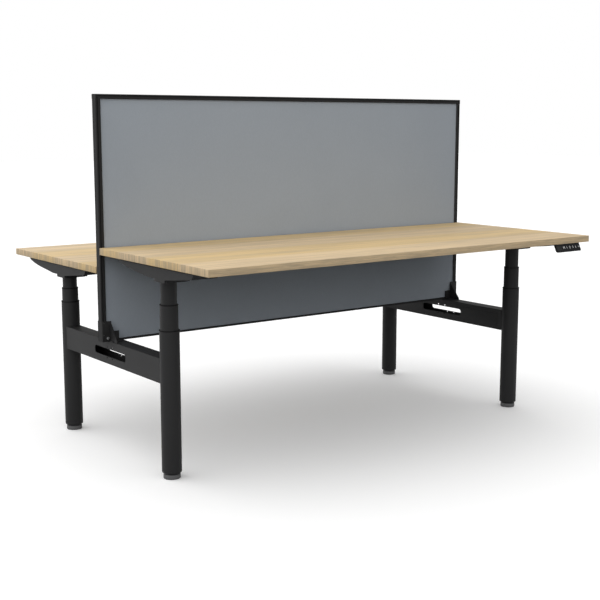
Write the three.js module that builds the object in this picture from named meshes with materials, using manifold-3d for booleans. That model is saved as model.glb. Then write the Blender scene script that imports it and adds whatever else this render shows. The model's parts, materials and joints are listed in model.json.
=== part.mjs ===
// Benching desk for two: back-to-back sit-stand worktops on two H-frames, with a screen between them.
// Millimetres, +Z up. X runs along the worktops, the near user sits at -Y and the far user at +Y.
// The origin is on the floor, at the middle of the whole desk.
import * as THREE from "three";
import { mergeVertices } from "three/addons/utils/BufferGeometryUtils.js";
import Module from "manifold-3d";

const wasm = await Module();
wasm.setup();

// Worktops
const TOP_LENGTH = 1800;
const TOP_DEPTH = 750;
const TOP_THICK = 25;
const TOP_EDGE_RADIUS = 1.5;
const NEAR_HEIGHT = 772;
const FAR_HEIGHT = 701;
const LOWEST_HEIGHT = 625;

// Screen between the worktops
const SCREEN_LENGTH = 1796;
const SCREEN_HEIGHT = 898.5;
const SCREEN_THICK = 30;
const SCREEN_GAP = 2;
const TOP_RAIL_HEIGHT = 17;
const BOTTOM_RAIL_HEIGHT = 8;
const STILE_WIDTH = 19;
const PROFILE_RADIUS = 3;
const TRIM_FROM_EDGE = 4.5;
const TRIM_WIDTH = 4;
const TRIM_DEPTH = 3.5;
const PANEL_THICK = 22;
const PANEL_GROOVE = 6;
const BOTTOM_GROOVE = 3;
const PANEL_CLEARANCE = 0.3;

// Columns: three round tubes, one inside the other
const COLUMN_X = 839;
const COLUMN_SPREAD = 4;
const FRAME_SHIFT = -15.4;
const OUTER_RADIUS = 35;
const MIDDLE_RADIUS = 31.5;
const INNER_RADIUS = 28;
const TUBE_WALL = 2.5;
const GLIDE_LENGTH = 25;
const SLIDE_CLEARANCE = 0.2;
const OUTER_LENGTH = 500;
const MIDDLE_LENGTH = 490;
const INNER_LENGTH = 485;
const MIDDLE_SHOWS = 15;
const OUTER_BOTTOM_RADIUS = 4;
const PLUG_THICK = 8;
const TUBE_SEGMENTS = 32;
const THIN_SEGMENTS = 16;
const HEXAGON = 6;

// Levelling feet
const FOOT_GAP = 21.5;
const FOOT_RADIUS = 30;
const FOOT_DISC_HEIGHT = 16.5;
const FOOT_CHAMFER = 2;
const FOOT_NECK_RADIUS = 13;
const FOOT_NECK_HEIGHT = 3.5;
const NECK_ROOT = 1;
const STEM_RADIUS = 5;
const STEM_LENGTH = 34;

// Beams between the near and far columns
const BEAM_WIDTH = 60;
const BEAM_HEIGHT = 88;
const BEAM_TOP = 424;
const BEAM_WALL = 2.5;
const WELD_GAP = 0.3;
const SLOT_LENGTH = 246;
const SLOT_HEIGHT = 29.6;
const SLOT_DROP = 1.2;
const SLOT_RADIUS = 11;
const HOLE_RADIUS = 3.2;
const HOLE_SPACING_Y = 42;
const HOLE_SPACING_Z = 40;
const COVER_FROM_COLUMN = 48;
const COVER_HEIGHT = 62;
const COVER_THICK = 1.6;
const COVER_RADIUS = 8;
const COVER_DROP = 3.2;
const COVER_GAP = 1.2;
const COVER_LIP = 4;

// Screen brackets
const BRACKET_THICK = 3;
const BRACKET_HEIGHT = 76;
const BRACKET_STEP_HEIGHT = 37.5;
const BRACKET_TALL_WIDTH = 37;
const BRACKET_WIDTH = 68;
const BRACKET_FOOT = 27;
const GUSSET_LENGTH = 55;
const GUSSET_TOP = 68;
const GUSSET_TOE = 6;
const GUSSET_THICK = 5;

// Side arms under the worktops: a folded channel under a flat bar
const ARM_WIDTH = 97;
const ARM_DEPTH = 43.5;
const ARM_SHEET = 3;
const ARM_TIP_FROM_BAR = 25;
const ARM_BLUNT_FROM_BAR = 45.5;
const ARM_TAPER = 226.5;
const ARM_NOSE = [[56.5, 37], [124.5, 29.5], [184.5, 19.5], [213.5, 11.5], [222.5, 7.5]];
const ARM_BLUNT_DEPTH = 22.5;
const ARM_BLUNT_SLANT = 9.5;
const BAR_WIDTH = 60;
const BAR_THICK = 5;
const BAR_BACK_MARGIN = 85;
const BAR_FRONT_MARGIN = 75;

// Head flange on each inner tube
const FLANGE_THICK = 10;
const FLANGE_BACK = 58.7;
const SLIT_WIDTH = 6;
const SLIT_DEPTH = 22;
const SLIT_FROM_EDGE = 2;
const SLIT_ROOF = 2;

// Lift drive inside each inner tube
const MOTOR_RADIUS = 22;
const MOTOR_LENGTH = 150;
const MOTOR_FLANGE = 6;
const SPINDLE_RADIUS = 7;
const SPINDLE_LENGTH = 300;

// Crossbar and control box of each worktop
const CROSSBAR_WIDTH = 60;
const CROSSBAR_HEIGHT = 30;
const CROSSBAR_WALL = 2;
const BOX_LENGTH = 240;
const BOX_WIDTH = 100;
const BOX_HEIGHT = 38;
const BOX_RADIUS = 8;
const BOX_X = 240;
const BOX_FROM_COLUMN = 130;
const PORT_DEPTH = 12;
const PORT_WIDTH = 13;
const PORT_HEIGHT = 12;
const PORT_PITCH = 19;
const INLET_WIDTH = 24;
const INLET_HEIGHT = 20;

// Handset under each worktop's edge, with six keys on its sloping face
const HANDSET_LENGTH = 139;
const HANDSET_X = 772.5;
const HANDSET_THICK = 10;
const HANDSET_ROUND = 2;
const HANDSET_CORNER = 8;
const FACE_TOP_IN = 4;
const FACE_BOTTOM_OUT = 10.5;
const FACE_DROP = 29.5;
const TONGUE_BACK = 46;
const TONGUE_WIDTH = 100;
const TONGUE_THICK = 4;
const KEY_NAMES = ["memory", "1", "2", "3", "up", "down"];
const KEY_PITCH = 17.5;
const KEY_FIRST = -26.5;
const KEY_WIDTH = 14.4;
const KEY_HEIGHT = 18;
const KEY_RADIUS = 2.5;
const KEY_GAP = 0.3;
const KEY_PROUD = 0.7;
const KEY_DEPTH = 2.4;
const KEY_TRAVEL = 0.8;
const KEY_RELIEF = 0.2;
const KEY_CURVE = 1;
const WINDOW_X = -51;
const WINDOW_WIDTH = 29;
const WINDOW_DEPTH = 1;

// How far a cutting shape runs past the face it cuts
const OVERCUT = 1;

// Values that follow from the driving dimensions
const BEAM_BOTTOM = BEAM_TOP - BEAM_HEIGHT;
const BEAM_MIDDLE = BEAM_TOP - BEAM_HEIGHT / 2;
const SCREEN_BOTTOM = BEAM_TOP;
const SCREEN_TOP = SCREEN_BOTTOM + SCREEN_HEIGHT;
const TOP_CENTRE_Y = SCREEN_THICK / 2 + SCREEN_GAP + TOP_DEPTH / 2;
const TOP_EDGE_Y = TOP_CENTRE_Y + TOP_DEPTH / 2;
const COLUMN_SPACING = 2 * TOP_CENTRE_Y + COLUMN_SPREAD;
const BAR_BACK = TOP_DEPTH / 2 - BAR_BACK_MARGIN;
const BAR_FRONT = TOP_DEPTH / 2 - BAR_FRONT_MARGIN;
const ARM_TIP = BAR_FRONT - ARM_TIP_FROM_BAR;
const ARM_BLUNT = BAR_BACK - ARM_BLUNT_FROM_BAR;
const OUTER_TOP = FOOT_GAP + OUTER_LENGTH;
const ENDS = [["left", -1], ["right", 1]];
const DESKS = [["near", -1, NEAR_HEIGHT], ["far", 1, FAR_HEIGHT]];

// Finishes
function finish(color, roughness, metalness) {
  return () => new THREE.MeshStandardMaterial({ color, roughness, metalness });
}
const oak = finish(0xdcc290, 0.55, 0);
const powderCoat = finish(0x2c2d2f, 0.5, 0.2);
const screenFrame = finish(0x26272a, 0.45, 0.3);
const screenCloth = finish(0x868b90, 0.9, 0);
const footPlastic = finish(0x47484a, 0.6, 0);
const steel = finish(0xa9abad, 0.35, 0.9);
const boxPlastic = finish(0x1c1d1f, 0.6, 0);
const handsetPlastic = finish(0x232426, 0.5, 0);
const keyPlastic = finish(0x2e3033, 0.55, 0);

// A closed three.js geometry as a solid that can be joined and cut.
function solid(geometry) {
  const bare = geometry.clone();
  bare.deleteAttribute("normal");
  bare.deleteAttribute("uv");
  const merged = mergeVertices(bare);
  const corners = [];
  for (let i = 0; i < merged.index.count; i += 3) {
    const [a, b, c] = [0, 1, 2].map((k) => merged.index.getX(i + k));
    if (a !== b && b !== c && c !== a) corners.push(a, b, c);
  }
  return new wasm.Manifold(new wasm.Mesh({
    numProp: 3,
    vertProperties: Float32Array.from(merged.attributes.position.array),
    triVerts: Uint32Array.from(corners),
  }));
}

function named(name, shape, material) {
  const data = shape.getMesh();
  const geometry = new THREE.BufferGeometry();
  geometry.setAttribute("position", new THREE.BufferAttribute(data.vertProperties, 3));
  geometry.setIndex(new THREE.BufferAttribute(data.triVerts, 1));
  geometry.computeVertexNormals();
  const mesh = new THREE.Mesh(geometry, material());
  mesh.name = name;
  return mesh;
}

// A box between two opposite corners.
function block(x0, x1, y0, y1, z0, z1) {
  const size = [x1 - x0, y1 - y0, z1 - z0].map(Math.abs);
  const box = new THREE.BoxGeometry(...size);
  box.translate((x0 + x1) / 2, (y0 + y1) / 2, (z0 + z1) / 2);
  return solid(box);
}

function extrusion(shape, depth, curveSegments = 4) {
  return new THREE.ExtrudeGeometry(shape, { depth, bevelEnabled: false, curveSegments });
}

// Outlines drawn in plan, in the YZ plane and in the XZ plane, carried along the third axis.
function alongZ(shape, z0, z1, curveSegments) {
  const geometry = extrusion(shape, z1 - z0, curveSegments);
  geometry.translate(0, 0, z0);
  return solid(geometry);
}

function alongX(shape, x0, x1, curveSegments) {
  const geometry = extrusion(shape, x1 - x0, curveSegments);
  const turn = new THREE.Matrix4().makeBasis(
    new THREE.Vector3(0, 1, 0),
    new THREE.Vector3(0, 0, 1),
    new THREE.Vector3(1, 0, 0),
  );
  geometry.applyMatrix4(turn);
  geometry.translate(x0, 0, 0);
  return solid(geometry);
}

function alongY(shape, y0, y1, curveSegments) {
  const geometry = extrusion(shape, y1 - y0, curveSegments);
  geometry.rotateX(Math.PI / 2);
  geometry.translate(0, y1, 0);
  return solid(geometry);
}

function outline(points) {
  return new THREE.Shape(points.map(([a, b]) => new THREE.Vector2(a, b)));
}

function roundedRectangle(a0, a1, b0, b1, radius) {
  const shape = new THREE.Shape();
  shape.moveTo(a0 + radius, b0);
  shape.lineTo(a1 - radius, b0);
  shape.absarc(a1 - radius, b0 + radius, radius, -Math.PI / 2, 0);
  shape.lineTo(a1, b1 - radius);
  shape.absarc(a1 - radius, b1 - radius, radius, 0, Math.PI / 2);
  shape.lineTo(a0 + radius, b1);
  shape.absarc(a0 + radius, b1 - radius, radius, Math.PI / 2, Math.PI);
  shape.lineTo(a0, b0 + radius);
  shape.absarc(a0 + radius, b0 + radius, radius, Math.PI, Math.PI * 1.5);
  return shape;
}

// A profile of [radius, height] points turned round the Z axis: outside upwards, then inside downwards.
function turned(profile, segments = TUBE_SEGMENTS) {
  const points = profile.map(([radius, height]) => new THREE.Vector2(radius, height));
  const lathe = new THREE.LatheGeometry(points, segments);
  lathe.rotateX(Math.PI / 2);
  return solid(lathe);
}

// A rod along X through a wall, for round holes.
function rodAlongX(x0, x1, y, z, radius) {
  const rod = new THREE.CylinderGeometry(radius, radius, x1 - x0, 10);
  rod.rotateZ(Math.PI / 2);
  rod.translate((x0 + x1) / 2, y, z);
  return solid(rod);
}

function place(mesh, x, y, z) {
  mesh.position.set(x, y, z);
  return mesh;
}

// Worktop with softened edges, its underside at z = 0.
function worktop() {
  const r = TOP_EDGE_RADIUS;
  const half = [TOP_LENGTH / 2 - r, TOP_DEPTH / 2 - r];
  const sheet = outline([
    [-half[0], -half[1]],
    [half[0], -half[1]],
    [half[0], half[1]],
    [-half[0], half[1]],
  ]);
  const geometry = new THREE.ExtrudeGeometry(sheet, {
    depth: TOP_THICK - 2 * r,
    bevelEnabled: true,
    bevelThickness: r,
    bevelSize: r,
    bevelSegments: 2,
  });
  geometry.translate(0, 0, r);
  return solid(geometry);
}

// Telescopic columns
function outerTube() {
  const bore = OUTER_RADIUS - TUBE_WALL;
  const lip = MIDDLE_RADIUS + SLIDE_CLEARANCE;
  const hole = STEM_RADIUS + SLIDE_CLEARANCE;
  const r = OUTER_BOTTOM_RADIUS;
  const corner = [0, 1, 2, 3].map((k) => {
    const angle = (k / 3) * (Math.PI / 2);
    return [OUTER_RADIUS - r + r * Math.sin(angle), r - r * Math.cos(angle)];
  });
  return turned([
    [hole, 0],
    ...corner,
    [OUTER_RADIUS, OUTER_LENGTH],
    [lip, OUTER_LENGTH],
    [lip, OUTER_LENGTH - GLIDE_LENGTH],
    [bore, OUTER_LENGTH - GLIDE_LENGTH],
    [bore, PLUG_THICK],
    [hole, PLUG_THICK],
    [hole, 0],
  ]);
}

function middleTube() {
  const bore = MIDDLE_RADIUS - TUBE_WALL;
  const lip = INNER_RADIUS + SLIDE_CLEARANCE;
  const glide = OUTER_RADIUS - TUBE_WALL - SLIDE_CLEARANCE;
  return turned([
    [bore, 0],
    [glide, 0],
    [glide, GLIDE_LENGTH],
    [MIDDLE_RADIUS, GLIDE_LENGTH],
    [MIDDLE_RADIUS, MIDDLE_LENGTH],
    [lip, MIDDLE_LENGTH],
    [lip, MIDDLE_LENGTH - GLIDE_LENGTH],
    [bore, MIDDLE_LENGTH - GLIDE_LENGTH],
    [bore, 0],
  ]);
}

// Inner tube with its head flange: one end follows the tube, the square end has a slit in each corner.
// The flange's underside is at z = 0.
function innerTube() {
  const bore = INNER_RADIUS - TUBE_WALL;
  const glide = MIDDLE_RADIUS - TUBE_WALL - SLIDE_CLEARANCE;
  const tube = turned([
    [bore, -INNER_LENGTH],
    [glide, -INNER_LENGTH],
    [glide, GLIDE_LENGTH - INNER_LENGTH],
    [INNER_RADIUS, GLIDE_LENGTH - INNER_LENGTH],
    [INNER_RADIUS, FLANGE_THICK / 2],
    [bore, FLANGE_THICK / 2],
    [bore, -INNER_LENGTH],
  ]);
  const half = ARM_WIDTH / 2;
  const plan = new THREE.Shape();
  plan.moveTo(-half, -FLANGE_BACK);
  plan.lineTo(half, -FLANGE_BACK);
  plan.lineTo(half, 0);
  plan.absarc(0, 0, half, 0, Math.PI);
  plan.lineTo(-half, -FLANGE_BACK);
  let head = tube.add(alongZ(plan, 0, FLANGE_THICK, 16));
  for (const side of [-1, 1]) {
    const edge = side * (half - SLIT_FROM_EDGE);
    const inner = edge - side * SLIT_WIDTH;
    const front = -FLANGE_BACK - OVERCUT;
    head = head.subtract(
      block(edge, inner, front, SLIT_DEPTH - FLANGE_BACK, -OVERCUT, FLANGE_THICK - SLIT_ROOF),
    );
  }
  return head;
}

// Motor and spindle hang from the head flange inside the inner tube.
function liftDrive() {
  const rim = INNER_RADIUS - TUBE_WALL - SLIDE_CLEARANCE;
  return turned([
    [0, -MOTOR_LENGTH - SPINDLE_LENGTH],
    [SPINDLE_RADIUS, -MOTOR_LENGTH - SPINDLE_LENGTH],
    [SPINDLE_RADIUS, -MOTOR_LENGTH],
    [MOTOR_RADIUS, -MOTOR_LENGTH],
    [MOTOR_RADIUS, -MOTOR_FLANGE],
    [rim, -MOTOR_FLANGE],
    [rim, 0],
    [0, 0],
  ], THIN_SEGMENTS);
}

// Foot disc, hexagonal neck and threaded stem, standing on z = 0.
function foot() {
  const disc = turned([
    [0, 0],
    [FOOT_RADIUS - FOOT_CHAMFER, 0],
    [FOOT_RADIUS, FOOT_CHAMFER],
    [FOOT_RADIUS, FOOT_DISC_HEIGHT - FOOT_CHAMFER],
    [FOOT_RADIUS - FOOT_CHAMFER, FOOT_DISC_HEIGHT],
    [0, FOOT_DISC_HEIGHT],
  ]);
  const neckTop = FOOT_DISC_HEIGHT + FOOT_NECK_HEIGHT;
  const rod = (radius, height, sides) => turned(
    [[0, NECK_ROOT], [radius, NECK_ROOT], [radius, height], [0, height]],
    sides,
  );
  const neck = rod(FOOT_NECK_RADIUS, neckTop, HEXAGON);
  const stem = rod(STEM_RADIUS, STEM_LENGTH, THIN_SEGMENTS);
  return disc.add(neck).add(stem);
}

// Beams: hollow boxes whose ends follow the round columns. "inward" points to the middle of the desk.
function cableSlot(x0, x1) {
  const half = SLOT_LENGTH / 2;
  const low = BEAM_MIDDLE - SLOT_DROP - SLOT_HEIGHT / 2;
  const shape = roundedRectangle(-half, half, low, low + SLOT_HEIGHT, SLOT_RADIUS);
  let cut = alongX(shape, x0, x1);
  for (const y of [-HOLE_SPACING_Y / 2, HOLE_SPACING_Y / 2]) {
    for (const z of [-HOLE_SPACING_Z / 2, HOLE_SPACING_Z / 2]) {
      cut = cut.add(rodAlongX(x0, x1, y, BEAM_MIDDLE + z, HOLE_RADIUS));
    }
  }
  return cut;
}

function coverPlate(x0, x1, grow) {
  const halfLength = COLUMN_SPACING / 2 - COVER_FROM_COLUMN + grow;
  const halfHeight = COVER_HEIGHT / 2 + grow;
  const low = BEAM_MIDDLE - COVER_DROP - halfHeight;
  const high = low + 2 * halfHeight;
  const shape = roundedRectangle(-halfLength, halfLength, low, high, COVER_RADIUS + grow);
  return alongX(shape, Math.min(x0, x1), Math.max(x0, x1));
}

function beam(inward) {
  const half = BEAM_WIDTH / 2;
  const reach = COLUMN_SPACING / 2;
  const hollow = half - BEAM_WALL;
  const face = inward * half;
  let shape = block(-half, half, -reach, reach, BEAM_BOTTOM, BEAM_TOP);
  shape = shape.subtract(
    block(-hollow, hollow, -reach, reach, BEAM_BOTTOM + BEAM_WALL, BEAM_TOP - BEAM_WALL),
  );
  for (const y of [-reach, reach]) {
    const column = new THREE.CylinderGeometry(
      OUTER_RADIUS + WELD_GAP,
      OUTER_RADIUS + WELD_GAP,
      BEAM_HEIGHT + 2 * OVERCUT,
      TUBE_SEGMENTS,
    );
    column.rotateX(Math.PI / 2);
    column.translate(0, y, BEAM_MIDDLE);
    shape = shape.subtract(solid(column));
  }
  shape = shape.subtract(cableSlot(-half - OVERCUT, half + OVERCUT));
  shape = shape.subtract(coverPlate(face - inward * COVER_THICK, face + inward * OVERCUT, COVER_GAP));
  return shape.subtract(coverPlate(inward * (hollow - OVERCUT), face + inward * OVERCUT, -COVER_LIP));
}

function beamCover(inward) {
  const face = (inward * BEAM_WIDTH) / 2;
  const plate = coverPlate(face - inward * COVER_THICK, face, 0);
  return plate.subtract(cableSlot(-BEAM_WIDTH, BEAM_WIDTH));
}

// Screen: four frame profiles with a groove for the panel's edge.
function grooveWidth() {
  return PANEL_THICK + 2 * PANEL_CLEARANCE;
}

function topRail() {
  const half = SCREEN_THICK / 2;
  const low = SCREEN_TOP - TOP_RAIL_HEIGHT;
  const r = PROFILE_RADIUS;
  const section = new THREE.Shape();
  section.moveTo(-half, low);
  section.lineTo(half, low);
  section.absarc(half - r, SCREEN_TOP - r, r, 0, Math.PI / 2);
  section.absarc(-half + r, SCREEN_TOP - r, r, Math.PI / 2, Math.PI);
  const rail = alongX(section, -SCREEN_LENGTH / 2, SCREEN_LENGTH / 2);
  const inside = SCREEN_LENGTH / 2 - STILE_WIDTH + PANEL_GROOVE + PANEL_CLEARANCE;
  const g = grooveWidth() / 2;
  const channel = block(-inside, inside, -g, g, low - OVERCUT, low + PANEL_GROOVE + PANEL_CLEARANCE);
  return rail.subtract(channel).subtract(trimGroove());
}

// The shadow groove that runs round both faces of the frame, a little in from its edge.
function trimGroove() {
  const half = SCREEN_THICK / 2;
  const outer = SCREEN_LENGTH / 2 - TRIM_FROM_EDGE;
  const inner = outer - TRIM_WIDTH;
  const high = SCREEN_TOP - TRIM_FROM_EDGE;
  const cut = (x0, x1, z0, face) => block(
    x0,
    x1,
    face * (half - TRIM_DEPTH),
    face * (half + OVERCUT),
    z0,
    high,
  );
  let groove = null;
  for (const face of [-1, 1]) {
    for (const strip of [
      cut(-outer, outer, high - TRIM_WIDTH, face),
      cut(-outer, -inner, SCREEN_BOTTOM - OVERCUT, face),
      cut(inner, outer, SCREEN_BOTTOM - OVERCUT, face),
    ]) {
      groove = groove ? groove.add(strip) : strip;
    }
  }
  return groove;
}

function stile(side) {
  const half = SCREEN_THICK / 2;
  const outerX = (side * SCREEN_LENGTH) / 2;
  const innerX = outerX - side * STILE_WIDTH;
  const r = PROFILE_RADIUS;
  const section = new THREE.Shape();
  section.moveTo(innerX, -half);
  section.lineTo(outerX - side * r, -half);
  section.quadraticCurveTo(outerX, -half, outerX, -half + r);
  section.lineTo(outerX, half - r);
  section.quadraticCurveTo(outerX, half, outerX - side * r, half);
  section.lineTo(innerX, half);
  const post = alongZ(section, SCREEN_BOTTOM, SCREEN_TOP - TOP_RAIL_HEIGHT);
  const g = grooveWidth() / 2;
  const bottomX = innerX + side * (PANEL_GROOVE + PANEL_CLEARANCE);
  const channel = block(innerX - side * OVERCUT, bottomX, -g, g, SCREEN_BOTTOM - OVERCUT, SCREEN_TOP);
  return post.subtract(channel).subtract(trimGroove());
}

function bottomRail() {
  const half = SCREEN_THICK / 2;
  const length = SCREEN_LENGTH / 2 - STILE_WIDTH;
  const high = SCREEN_BOTTOM + BOTTOM_RAIL_HEIGHT;
  const g = grooveWidth() / 2;
  const rail = block(-length, length, -half, half, SCREEN_BOTTOM, high);
  const floor = high - BOTTOM_GROOVE - PANEL_CLEARANCE;
  return rail.subtract(block(-length - OVERCUT, length + OVERCUT, -g, g, floor, high + OVERCUT));
}

function panel() {
  const half = SCREEN_LENGTH / 2 - STILE_WIDTH + PANEL_GROOVE;
  const low = SCREEN_BOTTOM + BOTTOM_RAIL_HEIGHT - BOTTOM_GROOVE;
  const high = SCREEN_TOP - TOP_RAIL_HEIGHT + PANEL_GROOVE;
  return block(-half, half, -PANEL_THICK / 2, PANEL_THICK / 2, low, high);
}

// Screen bracket: stepped plate on the screen's face, foot on the beam and a triangular gusset between.
function bracket(endSide, faceSide) {
  const outerX = (endSide * SCREEN_LENGTH) / 2;
  const atX = (distance) => outerX - endSide * distance;
  const faceY = (faceSide * SCREEN_THICK) / 2;
  const atY = (distance) => faceY + faceSide * distance;
  const atZ = (distance) => BEAM_TOP + distance;
  const stepped = outline([
    [atX(0), atZ(0)],
    [atX(BRACKET_WIDTH), atZ(0)],
    [atX(BRACKET_WIDTH), atZ(BRACKET_STEP_HEIGHT)],
    [atX(BRACKET_TALL_WIDTH), atZ(BRACKET_STEP_HEIGHT)],
    [atX(BRACKET_TALL_WIDTH), atZ(BRACKET_HEIGHT)],
    [atX(0), atZ(BRACKET_HEIGHT)],
  ]);
  const ys = [atY(0), atY(BRACKET_THICK)].sort((a, b) => a - b);
  const plate = alongY(stepped, ys[0], ys[1]);
  const beamEdge = SCREEN_LENGTH / 2 - COLUMN_X - BEAM_WIDTH / 2;
  const footPlate = block(
    atX(beamEdge),
    atX(BRACKET_WIDTH),
    atY(0),
    atY(BRACKET_FOOT),
    atZ(0),
    atZ(BRACKET_THICK),
  );
  const triangle = outline([
    [atY(0), atZ(0)],
    [atY(GUSSET_LENGTH), atZ(0)],
    [atY(GUSSET_LENGTH), atZ(GUSSET_TOE)],
    [atY(BRACKET_THICK), atZ(GUSSET_TOP)],
    [atY(0), atZ(GUSSET_TOP)],
  ]);
  const xs = [atX(BRACKET_TALL_WIDTH - GUSSET_THICK), atX(BRACKET_TALL_WIDTH)].sort((a, b) => a - b);
  return plate.add(footPlate).add(alongX(triangle, xs[0], xs[1]));
}

// Side arm, its top at z = 0 and its middle over the column: deep there, tapering to a thin tip.
function arm() {
  const half = ARM_WIDTH / 2;
  const side = new THREE.Shape();
  side.moveTo(-ARM_BLUNT, -BAR_THICK);
  side.lineTo(-ARM_BLUNT + ARM_BLUNT_SLANT, -ARM_BLUNT_DEPTH);
  side.lineTo(-FLANGE_BACK, -ARM_DEPTH);
  side.lineTo(half, -ARM_DEPTH);
  const stretch = (ARM_TIP - half) / ARM_TAPER;
  const nose = [...ARM_NOSE.map(([y, depth]) => [half + stretch * y, -depth]), [ARM_TIP, -BAR_THICK]];
  side.splineThru(nose.map(([y, z]) => new THREE.Vector2(y, z)));
  const channel = alongX(side, -half, half, 2);
  const hollow = block(
    -half + ARM_SHEET,
    half - ARM_SHEET,
    -ARM_BLUNT + ARM_BLUNT_SLANT + ARM_SHEET,
    ARM_TIP,
    -ARM_DEPTH - OVERCUT,
    -BAR_THICK - ARM_SHEET,
  );
  const bar = block(-BAR_WIDTH / 2, BAR_WIDTH / 2, -BAR_BACK, BAR_FRONT, -BAR_THICK - ARM_SHEET / 2, 0);
  return channel.subtract(hollow).add(bar);
}

function crossbar() {
  const half = COLUMN_X - ARM_WIDTH / 2;
  const w = CROSSBAR_WIDTH / 2;
  const tube = block(-half, half, -w, w, -CROSSBAR_HEIGHT, 0);
  const bore = block(
    -half - OVERCUT,
    half + OVERCUT,
    -w + CROSSBAR_WALL,
    w - CROSSBAR_WALL,
    -CROSSBAR_HEIGHT + CROSSBAR_WALL,
    -CROSSBAR_WALL,
  );
  return tube.subtract(bore);
}

// Control box with a mains inlet and three ports in one end.
function controlBox() {
  const half = [BOX_LENGTH / 2, BOX_WIDTH / 2];
  const plan = roundedRectangle(-half[0], half[0], -half[1], half[1], BOX_RADIUS);
  let box = alongZ(plan, -BOX_HEIGHT, 0);
  const recess = (y, width, height) => block(
    -half[0] - OVERCUT,
    -half[0] + PORT_DEPTH,
    y - width / 2,
    y + width / 2,
    -BOX_HEIGHT / 2 - height / 2,
    -BOX_HEIGHT / 2 + height / 2,
  );
  const inletY = -half[1] + BOX_RADIUS + INLET_WIDTH / 2;
  box = box.subtract(recess(inletY, INLET_WIDTH, INLET_HEIGHT));
  for (let i = 0; i < 3; i += 1) {
    const y = half[1] - BOX_RADIUS - PORT_WIDTH / 2 - i * PORT_PITCH;
    box = box.subtract(recess(y, PORT_WIDTH, PORT_HEIGHT));
  }
  return box;
}

// Handset: a sloping slab with key pockets and a display recess, on a tongue screwed under the worktop.
// Here y = 0 is the worktop's edge and z = 0 its underside.
const FACE_TILT = Math.atan2(FACE_DROP, FACE_TOP_IN + FACE_BOTTOM_OUT);

function keyOutline(width, height, radius) {
  return roundedRectangle(-width / 2, width / 2, -height / 2, height / 2, radius);
}

// Puts a solid drawn on the face (x along it, y up it, z out of it) into the handset's frame.
function ontoFace(shape, x) {
  const middle = [x, (FACE_TOP_IN - FACE_BOTTOM_OUT) / 2, -FACE_DROP / 2];
  return shape.rotate([THREE.MathUtils.radToDeg(FACE_TILT), 0, 0]).translate(middle);
}

function keyX(index) {
  return KEY_FIRST + index * KEY_PITCH;
}

function handset() {
  const half = HANDSET_LENGTH / 2;
  const r = HANDSET_ROUND;
  const side = new THREE.Shape();
  side.moveTo(FACE_TOP_IN, 0);
  side.lineTo(-FACE_BOTTOM_OUT, -FACE_DROP);
  side.quadraticCurveTo(-FACE_BOTTOM_OUT - r / 2, -FACE_DROP - r, -FACE_BOTTOM_OUT + r, -FACE_DROP - r);
  side.lineTo(HANDSET_THICK - FACE_BOTTOM_OUT - r, -FACE_DROP - r);
  side.lineTo(HANDSET_THICK - FACE_BOTTOM_OUT, -FACE_DROP);
  side.lineTo(HANDSET_THICK + FACE_TOP_IN, 0);
  let body = alongX(side, -half, half);
  body = body.intersect(slabOutline());
  body = body.add(block(-TONGUE_WIDTH / 2, TONGUE_WIDTH / 2, HANDSET_THICK, TONGUE_BACK, -TONGUE_THICK, 0));
  const depth = KEY_DEPTH + KEY_TRAVEL + KEY_RELIEF;
  const pocket = keyOutline(KEY_WIDTH + 2 * KEY_GAP, KEY_HEIGHT + 2 * KEY_GAP, KEY_RADIUS + KEY_GAP);
  for (let i = 0; i < KEY_NAMES.length; i += 1) {
    body = body.subtract(ontoFace(alongZ(pocket, -depth, 2 * OVERCUT, KEY_CURVE), keyX(i)));
  }
  const display = keyOutline(WINDOW_WIDTH, KEY_HEIGHT, KEY_RADIUS);
  return body.subtract(ontoFace(alongZ(display, -WINDOW_DEPTH, 2 * OVERCUT, KEY_CURVE), WINDOW_X));
}

// The front view of the handset, with rounded lower corners, as deep as the whole worktop edge.
function slabOutline() {
  const half = HANDSET_LENGTH / 2;
  const r = HANDSET_CORNER;
  const low = -FACE_DROP - HANDSET_ROUND - OVERCUT / 2;
  const front = new THREE.Shape();
  front.moveTo(-half, OVERCUT);
  front.lineTo(-half, low + r);
  front.quadraticCurveTo(-half, low, -half + r, low);
  front.lineTo(half - r, low);
  front.quadraticCurveTo(half, low, half, low + r);
  front.lineTo(half, OVERCUT);
  return alongY(front, -TONGUE_BACK, TONGUE_BACK);
}

function key(index) {
  const cap = alongZ(keyOutline(KEY_WIDTH, KEY_HEIGHT, KEY_RADIUS), -KEY_DEPTH, KEY_PROUD, KEY_CURVE);
  return ontoFace(cap, keyX(index));
}

// The whole desk
const desk = new THREE.Group();

function addScreen() {
  desk.add(named("screen_panel", panel(), screenCloth));
  desk.add(named("screen_top_rail", topRail(), screenFrame));
  desk.add(named("screen_bottom_rail", bottomRail(), screenFrame));
  for (const [end, side] of ENDS) {
    desk.add(named(`screen_${end}_stile`, stile(side), screenFrame));
    for (const [user, faceSide] of DESKS) {
      desk.add(named(`${user}_${end}_bracket`, bracket(side, faceSide), powderCoat));
    }
  }
}

function addUnderframe() {
  const tube = outerTube();
  const level = foot();
  for (const [end, side] of ENDS) {
    const frame = new THREE.Group();
    frame.position.set(side * COLUMN_X, FRAME_SHIFT, 0);
    frame.add(named(`${end}_beam`, beam(-side), powderCoat));
    frame.add(named(`${end}_beam_cover`, beamCover(-side), powderCoat));
    for (const [user, sign] of DESKS) {
      const y = (sign * COLUMN_SPACING) / 2;
      frame.add(place(named(`${user}_${end}_outer_tube`, tube, powderCoat), 0, y, FOOT_GAP));
      frame.add(place(named(`${user}_${end}_foot`, level, footPlastic), 0, y, 0));
    }
    desk.add(frame);
  }
}

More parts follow.
